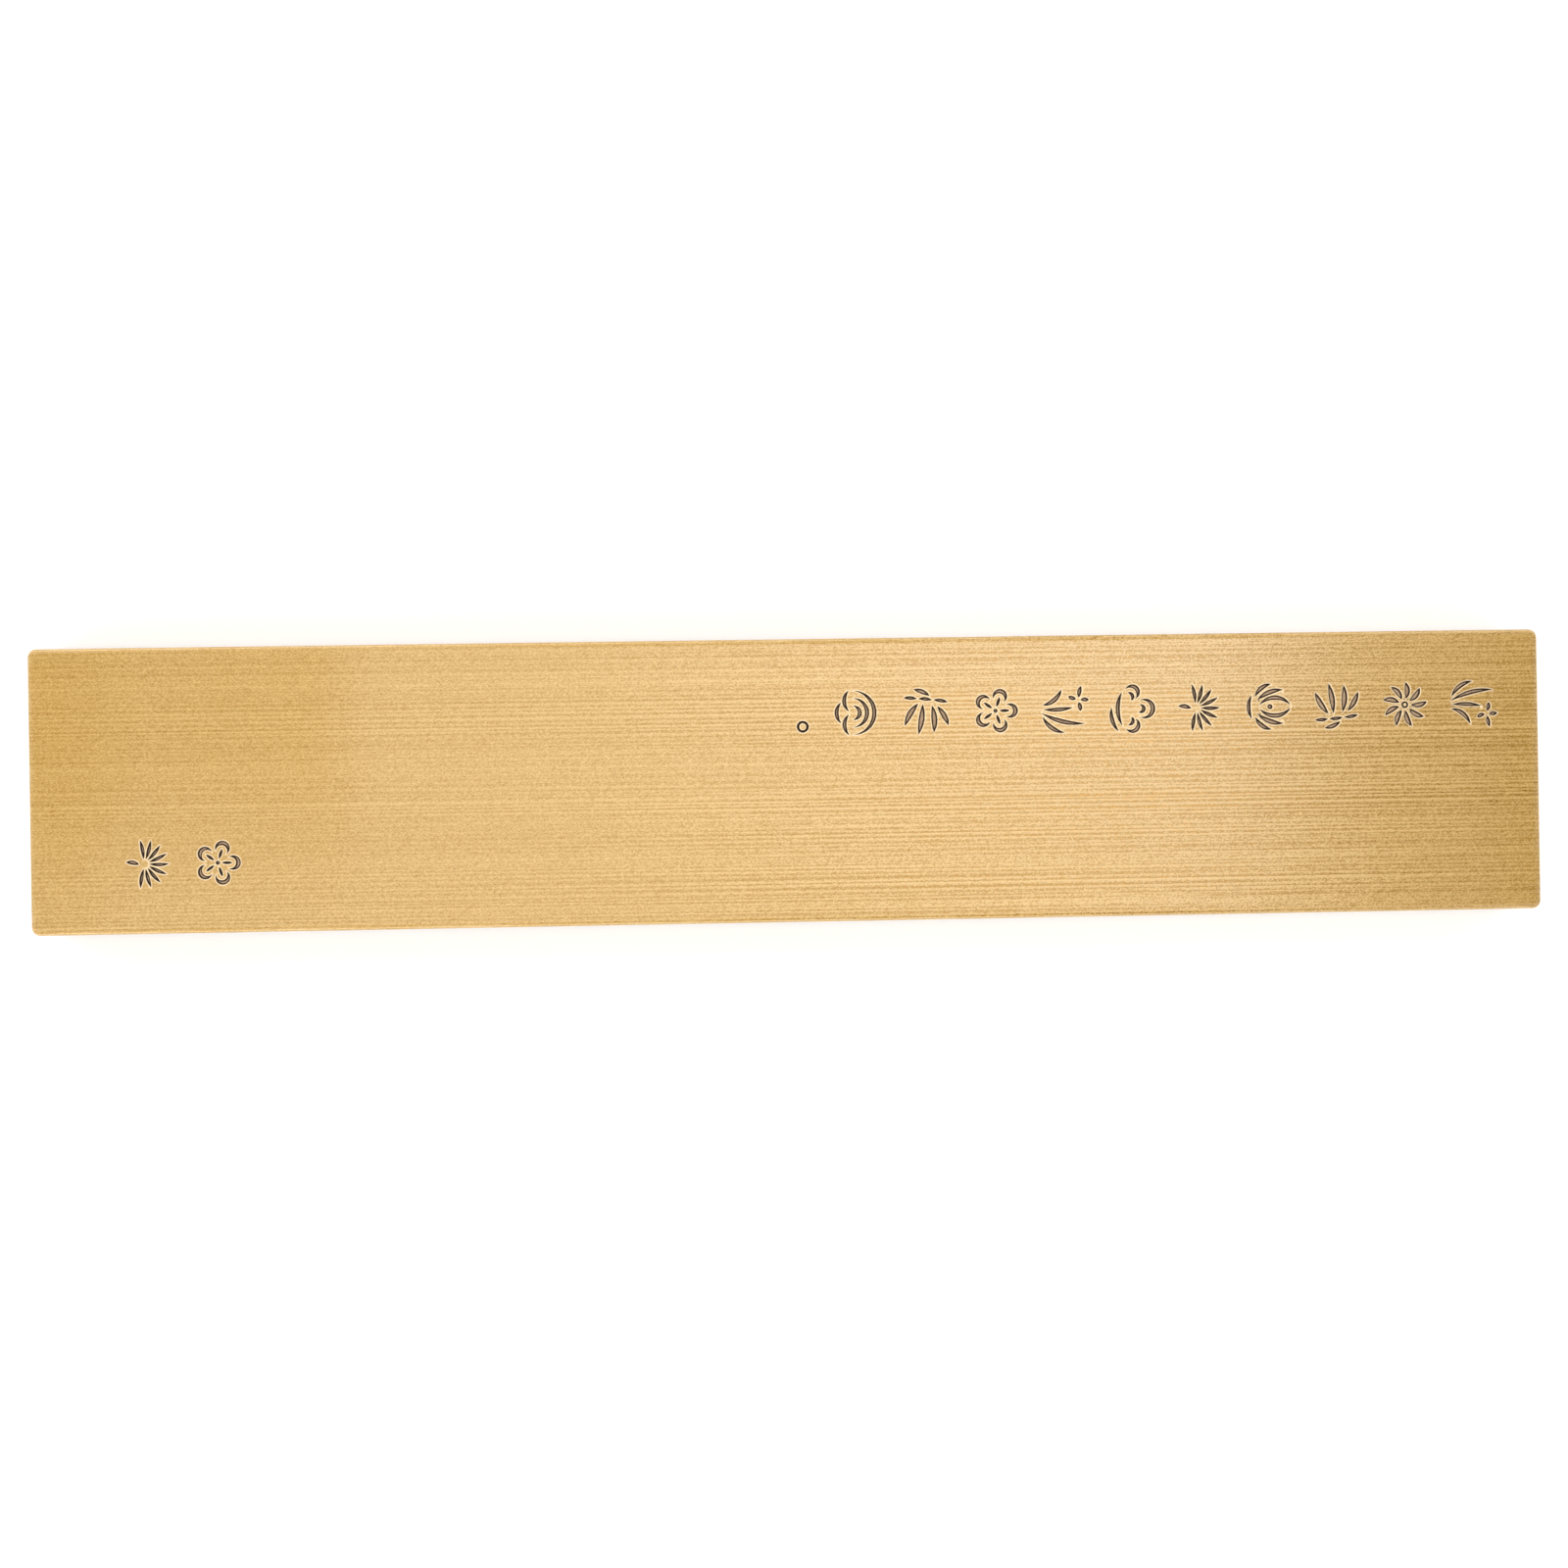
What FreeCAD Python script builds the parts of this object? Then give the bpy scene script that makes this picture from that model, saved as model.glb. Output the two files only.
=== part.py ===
import FreeCAD, Part
import math
import os
import Sketcher

# A flat bar paperweight for brush calligraphy: a solid brass bar with small botanical
# ornaments engraved in its top face, each filled with a thin floor of dark enamel, and a
# felt pad held to its underside by an adhesive film.
#
# The frame: X along the bar, Y across it, Z up. The origin is under the middle of the bar,
# in the plane that the felt rests on. The ornaments' own upright points along +X.

# Driving dimensions in millimetres.
SIZES = [
    ("bar_length", 160.0, "brass bar along X"),
    ("bar_width", 30.0, "brass bar along Y"),
    ("bar_thickness", 6.0, "brass bar along Z"),
    ("corner_radius", 0.9, "rounding of the bar's four upright corners"),
    ("edge_ease", 0.25, "rounding of the bar's top and bottom edges"),
    ("felt_thickness", 0.9, "felt pad, the lowest piece"),
    ("felt_inset", 0.6, "from the bar's edge in to the felt's"),
    ("felt_corner", 0.7, "rounding of the felt's corners"),
    ("film_thickness", 0.1, "adhesive film between the felt and the bar"),
    ("film_inset", 1.2, "from the bar's edge in to the film's"),
    ("film_corner", 0.5, "rounding of the film's corners"),
    ("mark_size", 4.95, "side of the square that one ornament fills"),
    ("mark_pitch", 7.34, "from one ornament of the row to the next"),
    ("row_start_x", 6.82, "the row's first ornament"),
    ("row_y", 7.08, "the row's line, above the bar's middle"),
    ("pair_start_x", -67.7, "the pair's first ornament"),
    ("pair_pitch", 7.1, "from one ornament of the pair to the other"),
    ("pair_y", -7.65, "the pair's line, below the bar's middle"),
    ("ring_x", 0.98, "the small ring that ends the row"),
    ("ring_y", 5.68, "the small ring, below the row's line"),
    ("ring_size", 1.26, "outer diameter of the small ring"),
    ("engraving_depth", 0.35, "from the bar's top face to a recess's floor"),
    ("enamel_thickness", 0.15, "enamel on a recess's floor"),
]

doc = FreeCAD.newDocument("bar_paperweight")
sheet = doc.addObject("Spreadsheet::Sheet", "Sizes")


def fill_sheet():
    for row, (alias, value, note) in enumerate(SIZES, start=1):
        sheet.set(f"A{row}", note)
        sheet.set(f"B{row}", str(value))
        sheet.setAlias(f"B{row}", alias)
    doc.recompute()


def bind(target, expressions):
    for path, expression in expressions.items():
        target.setExpression(path, expression)


# The rounded plates: bar, film and felt


def xy_plane(body):
    return next(plane for plane in body.Origin.OriginFeatures if plane.Role == "XY_Plane")


def new_sketch(body, name):
    sketch = body.newObject("Sketcher::SketchObject", name)
    sketch.AttachmentSupport = [(xy_plane(body), "")]
    sketch.MapMode = "FlatFace"
    return sketch


def draw_rectangle(sketch, length, width):
    """A rectangle centred on the sketch's origin, its two sizes bound to expressions."""
    corners = [FreeCAD.Vector(x, y, 0) for x, y in ((-9, -5), (9, -5), (9, 5), (-9, 5))]
    sides = [Part.LineSegment(corners[i], corners[(i + 1) % 4]) for i in range(4)]
    sketch.addGeometry(sides, False)
    start, end, origin = 1, 2, -1
    for i in range(4):
        sketch.addConstraint(Sketcher.Constraint("Coincident", i, end, (i + 1) % 4, start))
        sketch.addConstraint(Sketcher.Constraint(("Horizontal", "Vertical")[i % 2], i))
    sketch.addConstraint(Sketcher.Constraint("Symmetric", 0, start, 1, end, origin, start))
    for kind, side, name, expression in (
        ("DistanceX", 0, "length", length),
        ("DistanceY", 1, "width", width),
    ):
        number = sketch.addConstraint(Sketcher.Constraint(kind, side, start, side, end, 10.0))
        sketch.renameConstraint(number, name)
        sketch.setExpression("Constraints." + name, expression)


def edges_where(shape, wanted):
    return [f"Edge{i}" for i, edge in enumerate(shape.Edges, start=1) if wanted(edge)]


def is_upright(edge):
    box = edge.BoundBox
    return box.ZLength > max(box.XLength, box.YLength)


def is_level(edge):
    return edge.BoundBox.ZLength < 1e-6


def rounded_plate(label, inset, thickness, corner, underside):
    """A plate under the bar's outline, drawn in by inset, with its upright corners rounded."""
    body = doc.addObject("PartDesign::Body", label)
    body.setExpression("Placement.Base.z", underside)
    outline = new_sketch(body, label + "_outline")
    draw_rectangle(
        outline, f"Sizes.bar_length - 2 * ({inset})", f"Sizes.bar_width - 2 * ({inset})"
    )
    pad = body.newObject("PartDesign::Pad", label + "_pad")
    pad.Profile = outline
    pad.setExpression("Length", thickness)
    doc.recompute()
    corners = body.newObject("PartDesign::Fillet", label + "_corners")
    corners.Base = (pad, edges_where(pad.Shape, is_upright))
    corners.setExpression("Radius", corner)
    doc.recompute()
    return body


# The ornaments


def polar(radius, degrees, centre=(0, 0)):
    turn = math.radians(degrees)
    return (centre[0] + radius * math.cos(turn), centre[1] + radius * math.sin(turn))


class Drawing:
    """One ornament's closed outlines in a square from -1 to 1. Facing -1 mirrors it."""

    def __init__(self, facing=1):
        self.facing = facing
        self.curves = []

    def place(self, point):
        return FreeCAD.Vector(self.facing * point[0], point[1], 0)

    def blade(self, start, end, width, bend=0.0):
        """A tapered stroke between two arcs. Its middle stands off by bend, to the right."""
        start, end = self.place(start), self.place(end)
        along = end - start
        right = FreeCAD.Vector(along.y, -along.x, 0).normalize() * self.facing
        for off in (bend + width / 2, bend - width / 2):
            middle = (start + end) / 2 + right * off
            anticlockwise = along.cross(middle - start).z < 0
            ends = (start, end) if anticlockwise else (end, start)
            self.curves.append(Part.Arc(ends[0], middle, ends[1]))

    def disc(self, centre, radius):
        self.curves.append(Part.Circle(self.place(centre), FreeCAD.Vector(0, 0, 1), radius))

    def ring(self, centre, radius, width):
        self.disc(centre, radius)
        self.disc(centre, radius - width)


def draw_plum_blossom(ink):
    ink.disc((0, 0), 0.09)
    for petal in range(5):
        turn = 90 + 72 * petal
        ink.blade(polar(0.5, turn - 27), polar(0.5, turn + 27), 0.2, 0.42)
        ink.blade(polar(0.17, turn), polar(0.62, turn), 0.13)


def draw_chrysanthemum(ink):
    ink.ring((0, 0), 0.15, 0.08)
    for petal in range(9):
        turn = 90 + 40 * petal
        ink.blade(polar(0.25, turn), polar(0.98, turn + 8), 0.24, 0.08)


def draw_bamboo(ink):
    joints = [(-0.6, -0.98), (-0.56, -0.34), (-0.5, 0.3), (-0.4, 0.98)]
    for low, high in zip(joints, joints[1:]):
        ink.blade(low, (high[0], high[1] - 0.06), 0.16, -0.02)
    ink.blade((-0.36, -0.36), (0.6, -0.94), 0.25, 0.07)
    ink.blade((-0.34, -0.16), (0.98, -0.36), 0.25, -0.04)
    ink.blade((-0.28, 0.24), (0.9, 0.3), 0.25, -0.06)
    ink.blade((-0.24, 0.46), (0.6, 0.94), 0.23, -0.05)
    ink.blade((-0.68, 0.14), (-0.96, -0.56), 0.2, 0.05)


def draw_orchid(ink):
    ink.blade((-0.3, -0.92), (-0.98, 0.02), 0.2, -0.16)
    ink.blade((-0.14, -0.96), (-0.6, 0.9), 0.2, -0.14)
    ink.blade((0.02, -0.9), (0.1, 0.4), 0.18, -0.05)
    ink.blade((0.2, -0.96), (0.9, -0.1), 0.2, -0.17)
    flower = (0.42, 0.62)
    for turn, length in ((12, 0.5), (92, 0.36), (170, 0.4), (290, 0.36)):
        ink.blade(polar(0.1, turn, flower), polar(length + 0.1, turn, flower), 0.18, 0.02)


def draw_pine(ink):
    ink.blade((-0.08, -0.98), (0.02, -0.42), 0.19, -0.04)
    for needle in range(9):
        turn = 90 + 25 * (needle - 4)
        ink.blade(polar(0.2, turn, (0, -0.2)), polar(1.04, turn, (0, -0.2)), 0.16, 0.03)


def draw_lotus(ink):
    ink.disc((0, 0.04), 0.11)
    for side in (-1, 1):
        ink.blade((0.07 * side, -0.42), (0.05 * side, 0.94), 0.2, 0.33 * side)
        ink.blade((0.3 * side, -0.5), (0.72 * side, 0.62), 0.22, 0.12 * side)
        ink.blade((0.44 * side, -0.6), (0.98 * side, 0.1), 0.2, 0.12 * side)
    ink.blade((-0.52, -0.74), (0.52, -0.74), 0.17, 0.15)


def draw_scallop_wave(ink):
    for radius in (0.3, 0.62, 0.94):
        ink.blade((-radius, -0.2), (radius, -0.2), 0.18, -0.98 * radius)
    for start in (-0.96, 0.06):
        ink.blade((start, -0.36), (start + 0.9, -0.36), 0.17, 0.21)
    ink.blade((-0.46, -0.7), (0.46, -0.7), 0.17, 0.2)


def draw_cloud(ink):
    ink.blade((-0.34, 0.3), (0.34, 0.3), 0.2, -0.58)
    ink.blade((-0.17, 0.3), (0.14, 0.24), 0.16, -0.22)
    for side in (-1, 1):
        ink.blade((0.84 * side, -0.3), (0.42 * side, 0.12), 0.19, 0.36 * side)
        ink.blade((0.7 * side, -0.2), (0.34 * side, -0.06), 0.15, 0.14 * side)
    ink.blade((-0.74, -0.44), (0.74, -0.44), 0.18, 0.2)
    ink.blade((-0.1, -0.9), (0.98, -0.6), 0.17, 0.14)


def draw_small_ring(ink):
    ink.ring((0, 0), 1.0, 0.42)


def engraved_places():
    """Every ornament as label, drawing function, facing, size, X and Y. The last three are
    expressions in the sheet's cells."""
    row = [
        ("scallop_wave", draw_scallop_wave, 1),
        ("bamboo", draw_bamboo, 1),
        ("plum_blossom", draw_plum_blossom, 1),
        ("orchid", draw_orchid, -1),
        ("cloud", draw_cloud, 1),
        ("pine", draw_pine, 1),
        ("lotus", draw_lotus, 1),
        ("bamboo", draw_bamboo, -1),
        ("chrysanthemum", draw_chrysanthemum, 1),
        ("orchid", draw_orchid, 1),
    ]
    pair = [("pine", draw_pine, 1), ("plum_blossom", draw_plum_blossom, 1)]
    places = []
    for number, (name, draw, facing) in enumerate(row):
        across = f"Sizes.row_start_x + {number} * Sizes.mark_pitch"
        label = f"enamel_row_{number + 1:02d}_{name}"
        places.append((label, draw, facing, "mark_size", across, "Sizes.row_y"))
    for number, (name, draw, facing) in enumerate(pair):
        across = f"Sizes.pair_start_x + {number} * Sizes.pair_pitch"
        label = f"enamel_pair_{number + 1}_{name}"
        places.append((label, draw, facing, "mark_size", across, "Sizes.pair_y"))
    places.append(
        ("enamel_small_ring", draw_small_ring, 1, "ring_size", "Sizes.ring_x", "Sizes.ring_y")
    )
    return places


def draw_ornament(sketch, draw, facing, size):
    """The ornament's outlines, at the size that the sheet gives, fixed where they are drawn."""
    ink = Drawing(facing)
    draw(ink)
    for curve in ink.curves:
        curve.scale(FreeCAD.Vector(), sheet.get(size) / 2)
        number = sketch.addGeometry(curve, False)
        sketch.addConstraint(Sketcher.Constraint("Block", number))


# Turned so, an ornament drawn upright along Y stands with its top towards +X.
UPRIGHT_ALONG_X = FreeCAD.Rotation(FreeCAD.Vector(0, 0, 1), -90)


def engrave(body, places):
    """Cuts every ornament's recess into the bar's top face."""
    for label, draw, facing, size, across, up in places:
        name = label.replace("enamel", "recess")
        sketch = new_sketch(body, name + "_outline")
        sketch.AttachmentOffset = FreeCAD.Placement(FreeCAD.Vector(), UPRIGHT_ALONG_X)
        bind(
            sketch,
            {
                "AttachmentOffset.Base.x": across,
                "AttachmentOffset.Base.y": up,
                "AttachmentOffset.Base.z": "Sizes.bar_thickness",
            },
        )
        draw_ornament(sketch, draw, facing, size)
        pocket = body.newObject("PartDesign::Pocket", name)
        pocket.Profile = sketch
        pocket.setExpression("Length", "Sizes.engraving_depth")
        doc.recompute()


def make_bar(places):
    body = rounded_plate(
        "brass_bar",
        "0",
        "Sizes.bar_thickness",
        "Sizes.corner_radius",
        "Sizes.felt_thickness + Sizes.film_thickness",
    )
    corners = body.Tip
    eased = body.newObject("PartDesign::Fillet", "brass_bar_eased_edges")
    eased.Base = (corners, edges_where(corners.Shape, is_level))
    eased.setExpression("Radius", "Sizes.edge_ease")
    doc.recompute()
    engrave(body, places)
    return body


def make_enamel(label, draw, facing, size, across, up):
    """The enamel of one ornament: a thin layer on its recess's floor, with the same outline."""
    body = doc.addObject("PartDesign::Body", label)
    body.AllowCompound = True
    body.Placement = FreeCAD.Placement(FreeCAD.Vector(), UPRIGHT_ALONG_X)
    floor = (
        "Sizes.felt_thickness + Sizes.film_thickness"
        " + Sizes.bar_thickness - Sizes.engraving_depth"
    )
    bind(
        body,
        {"Placement.Base.x": across, "Placement.Base.y": up, "Placement.Base.z": floor},
    )
    sketch = new_sketch(body, label + "_outline")
    draw_ornament(sketch, draw, facing, size)
    pad = body.newObject("PartDesign::Pad", label + "_layer")
    pad.Profile = sketch
    pad.setExpression("Length", "Sizes.enamel_thickness")
    doc.recompute()
    return body


def make_film():
    return rounded_plate(
        "adhesive_film",
        "Sizes.film_inset",
        "Sizes.film_thickness",
        "Sizes.film_corner",
        "Sizes.felt_thickness",
    )


def make_felt():
    return rounded_plate(
        "felt_pad", "Sizes.felt_inset", "Sizes.felt_thickness", "Sizes.felt_corner", "0"
    )


def check(pieces):
    """Stops if any object failed, a shape is unusable or a recess wasn't cut."""
    failed = [thing.Name for thing in doc.Objects if {"Invalid", "Error"} & set(thing.State)]
    if failed:
        raise RuntimeError(f"these objects failed: {failed}")
    for piece in pieces:
        if piece.Shape.isNull() or not piece.Shape.isValid():
            raise RuntimeError(f"{piece.Label} has no valid shape")
    bar, enamels = pieces[0], pieces[1:-2]
    uncut = next(step for step in bar.Group if step.Name == "brass_bar_eased_edges")
    removed = uncut.Shape.Volume - bar.Shape.Volume
    layers = sum(piece.Shape.Volume for piece in enamels)
    expected = layers * sheet.get("engraving_depth") / sheet.get("enamel_thickness")
    print(f"recesses: {removed:.3f} mm3 cut, {expected:.3f} mm3 expected")
    if abs(removed - expected) > 0.01 * expected:
        raise RuntimeError("the recesses don't have the volume of their outlines")


def write(pieces):
    os.makedirs("parts", exist_ok=True)
    for piece in pieces:
        piece.Shape.exportStep(f"parts/{piece.Label}.step")
        box = piece.Shape.BoundBox
        print(
            f"{piece.Label}: {len(piece.Shape.Solids)} solid(s), {piece.Shape.Volume:.2f} mm3, "
            f"x {box.XMin:.2f} to {box.XMax:.2f}, y {box.YMin:.2f} to {box.YMax:.2f}, "
            f"z {box.ZMin:.2f} to {box.ZMax:.2f}"
        )


fill_sheet()
places = engraved_places()
pieces = [make_bar(places)]
pieces += [make_enamel(*place) for place in places]
pieces += [make_film(), make_felt()]
doc.recompute()
check(pieces)
write(pieces)
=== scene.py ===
import math
import random

import bpy
import numpy as np
from mathutils import Matrix, Vector, noise
from mathutils.bvhtree import BVHTree
from mathutils.geometry import delaunay_2d_cdt


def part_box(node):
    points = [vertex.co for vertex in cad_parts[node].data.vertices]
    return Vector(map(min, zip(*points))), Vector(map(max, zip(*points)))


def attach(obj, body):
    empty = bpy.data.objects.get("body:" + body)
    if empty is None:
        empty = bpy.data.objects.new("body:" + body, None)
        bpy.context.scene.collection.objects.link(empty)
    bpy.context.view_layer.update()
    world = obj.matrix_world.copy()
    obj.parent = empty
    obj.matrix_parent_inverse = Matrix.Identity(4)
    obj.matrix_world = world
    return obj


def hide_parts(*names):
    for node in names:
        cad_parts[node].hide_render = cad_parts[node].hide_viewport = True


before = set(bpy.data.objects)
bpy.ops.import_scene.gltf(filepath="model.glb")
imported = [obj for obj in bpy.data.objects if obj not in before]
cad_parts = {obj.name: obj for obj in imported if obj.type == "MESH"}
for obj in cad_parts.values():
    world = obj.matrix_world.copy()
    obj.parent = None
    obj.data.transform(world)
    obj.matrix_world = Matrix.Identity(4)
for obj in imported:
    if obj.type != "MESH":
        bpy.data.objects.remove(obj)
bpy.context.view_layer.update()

# A bar paperweight: brushed brass, thirteen little engraved ornaments filled with dark
# enamel, an adhesive film and a felt pad. Shapes are worked out in millimetres.
mm = 0.001
enamelNodes = sorted(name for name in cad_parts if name.startswith("enamel"))


def boxOf(node):
    low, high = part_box(node)
    return np.array(low) / mm, np.array(high) / mm


# Outlines

def plateOutline(half, radius, inset, step, cornerSteps=6):
    # a rectangle with rounded corners, anticlockwise, with as many points at any inset
    points = []
    centre = np.array(half) - radius
    signs = ((1, 1), (-1, 1), (-1, -1), (1, -1))
    for quarter in range(4):
        middle = centre * signs[quarter]
        for part in range(cornerSteps + 1):
            turn = math.radians(90 * (quarter + part / cornerSteps))
            reach = radius - inset
            points.append(middle + reach * np.array((math.cos(turn), math.sin(turn))))
        ahead = points[-1] + centre * signs[(quarter + 1) % 4] - middle
        count = math.ceil(np.linalg.norm(ahead - points[-1]) / step)
        here = points[-1]
        points += [here + (ahead - here) * k / count for k in range(1, count)]
    return np.array(points)


def topLoops(node):
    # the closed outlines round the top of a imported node, with its inside on their left
    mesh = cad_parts[node].data
    points = np.array([v.co for v in mesh.vertices]) / mm
    top = points[:, 2].max() - 0.01
    edges = {}
    for face in mesh.polygons:
        if points[list(face.vertices), 2].min() > top:
            ends = [tuple(np.round(points[i, :2], 4)) for i in face.vertices]
            for a, b in zip(ends, ends[1:] + ends[:1]):
                edges.setdefault(frozenset((a, b)), []).append((a, b))
    follow = dict(pair[0] for pair in edges.values() if len(pair) == 1)
    loops = []
    while follow:
        loop = [next(iter(follow))]
        while loop[-1] in follow:
            loop.append(follow.pop(loop[-1]))
        loops.append(np.array(loop[:-1]))
    return loops


def roundOff(loop, sharpest=40):
    # one more point on every side, on the curve through its neighbours; sharp tips stay
    before, after, beyond = np.roll(loop, 1, 0), np.roll(loop, -1, 0), np.roll(loop, -2, 0)
    into, out = loop - before, after - loop
    cosine = (into * out).sum(1) / (np.linalg.norm(into, axis=1) * np.linalg.norm(out, axis=1))
    sharp = (cosine < math.cos(math.radians(sharpest)))[:, None]
    first = np.where(sharp, 2 * loop - after, before)
    last = np.where(np.roll(sharp, -1, 0), 2 * after - loop, beyond)
    middle = (9 * (loop + after) - first - last) / 16
    return np.stack((loop, middle), 1).reshape(-1, 2)


def inwardNormals(loop):
    into, out = loop - np.roll(loop, 1, 0), np.roll(loop, -1, 0) - loop
    into /= np.linalg.norm(into, axis=1)[:, None]
    out /= np.linalg.norm(out, axis=1)[:, None]
    both = into + out
    both /= np.maximum(np.linalg.norm(both, axis=1), 1e-6)[:, None]
    return np.stack((-both[:, 1], both[:, 0]), 1)


def fromCut(points, loops):
    # distance from the nearest cut outline, negative inside a cut
    walls, quads = [], []
    inside = np.zeros(len(points), bool)
    x, y = points[:, :1], points[:, 1:2]
    for start in loops:
        end = np.roll(start, -1, 0)
        for (ax, ay), (bx, by) in zip(start, end):
            first = len(walls)
            walls += [(ax, ay, -1), (bx, by, -1), (bx, by, 1), (ax, ay, 1)]
            quads.append(range(first, first + 4))
        along = end - start
        spans = (start[:, 1] > y) != (end[:, 1] > y)
        rise = np.where(along[:, 1] == 0, 1e-9, along[:, 1])
        left = x < start[:, 0] + (y - start[:, 1]) * along[:, 0] / rise
        inside ^= (spans & left).sum(1) % 2 == 1
    fence = BVHTree.FromPolygons(walls, [tuple(q) for q in quads])
    away = np.array([fence.find_nearest((px, py, 0))[3] for px, py in points])
    return np.where(inside, -away, away)


def beside(loops, offset):
    # points that far from the outlines, outside if positive, where there is room for them
    points = np.concatenate([loop - inwardNormals(loop) * offset for loop in loops])
    fits = np.abs(fromCut(points, loops) / offset - 1) < 0.2
    return points[fits]


def drawnIn(loop, loops, inset, tries=(1, 0.75, 0.5, 0.3, 0.15)):
    # the outline moved inwards, less near a tip, so that it never crosses itself
    moved = loop.copy()
    waiting = np.ones(len(loop), bool)
    inward = inwardNormals(loop)
    for share in tries:
        trial = loop + inward * inset * share
        good = waiting & (fromCut(trial, loops) < -0.8 * inset * share)
        moved[good] = trial[good]
        waiting &= ~good
    return moved


def spines(loops, deepest=0.3, steps=14):
    # points along the middles of the strokes
    found = []
    reach = np.linspace(0.02, deepest, steps)
    for loop in loops:
        trials = loop + inwardNormals(loop) * reach[:, None, None]
        depths = -fromCut(trials.reshape(-1, 2), loops).reshape(steps, -1)
        best = depths.argmax(0)
        for i in range(0, len(loop), 2):
            if 0.02 < depths[best[i], i] < deepest * 0.9 and best[i] < steps - 1:
                found.append(trials[best[i], i])
    return np.array(found).reshape(-1, 2)


def triangulate(loops, loose, closest=0.004):
    # triangles over closed loops and loose points, and where each given point ended up
    given, edges = [], []
    for loop in loops:
        first = len(given)
        given += [Vector(p) for p in loop]
        edges += [(first + i, first + (i + 1) % len(loop)) for i in range(len(loop))]
    given += [Vector(p) for p in loose]
    points, _, triangles, origins, _, _ = delaunay_2d_cdt(given, edges, [], 0, closest)
    place = {source: i for i, sources in enumerate(origins) for source in sources}
    points = np.array([tuple(p) for p in points])
    facing = []
    for a, b, c in triangles:
        ab, ac = points[b] - points[a], points[c] - points[a]
        facing.append((a, b, c) if ab[0] * ac[1] > ab[1] * ac[0] else (a, c, b))
    return points, facing, place


class Shell:  # gathers one piece's points and faces, and a number painted on each point
    def __init__(self):
        self.points, self.faces, self.paint = [], [], []

    def add(self, points, paint):
        first = len(self.points)
        self.points += [tuple(p) for p in points]
        self.paint += list(np.broadcast_to(paint, (len(points), np.shape(paint)[-1])))
        return list(range(first, len(self.points)))

    def ring(self, outline, height, paint):
        heights = np.broadcast_to(height, len(outline))
        return self.add(np.column_stack((outline, heights)), paint)

    def bridge(self, upper, lower):
        for i in range(len(upper)):
            j = (i + 1) % len(upper)
            self.faces.append((upper[i], lower[i], lower[j], upper[j]))

    def build(self, name, paintNames, sharpAngle, finish, turned=False):
        mesh = bpy.data.meshes.new(name)
        mesh.from_pydata([Vector(p) * mm for p in self.points], [], self.faces)
        mesh.validate()
        for number, paintName in enumerate(paintNames):
            layer = mesh.attributes.new(paintName, "FLOAT", "POINT")
            layer.data.foreach_set("value", [float(row[number]) for row in self.paint])
        mesh.shade_smooth()
        mesh.set_sharp_from_angle(angle=math.radians(sharpAngle))
        piece = bpy.data.objects.new(name, mesh)
        bpy.context.scene.collection.objects.link(piece)
        mesh.materials.append(finish)
        weighted = piece.modifiers.new("flatFacesStayFlat", "WEIGHTED_NORMAL")
        weighted.keep_sharp = True
        weighted.weight = 100
        if turned:
            layAcrossGrain(piece)
        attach(piece, "root")
        return piece


# Shader maths

class Wire:  # one output socket, so that shader maths reads as plain expressions
    def __init__(self, finish, socket):
        self.finish, self.socket = finish, socket

    def maths(self, operation, *values):
        return self.finish.maths(operation, *values)

    def __add__(self, other):
        return self.maths("ADD", self, other)

    def __truediv__(self, other):
        return self.maths("DIVIDE", self, other)

    def __rtruediv__(self, other):
        return self.maths("DIVIDE", other, self)

    def __sub__(self, other):
        return self.maths("SUBTRACT", self, other)

    def __rsub__(self, other):
        return self.maths("SUBTRACT", other, self)

    def __mul__(self, other):
        return self.maths("MULTIPLY", self, other)

    def __abs__(self):
        return self.maths("ABSOLUTE", self)

    __radd__ = __add__
    __rmul__ = __mul__


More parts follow.
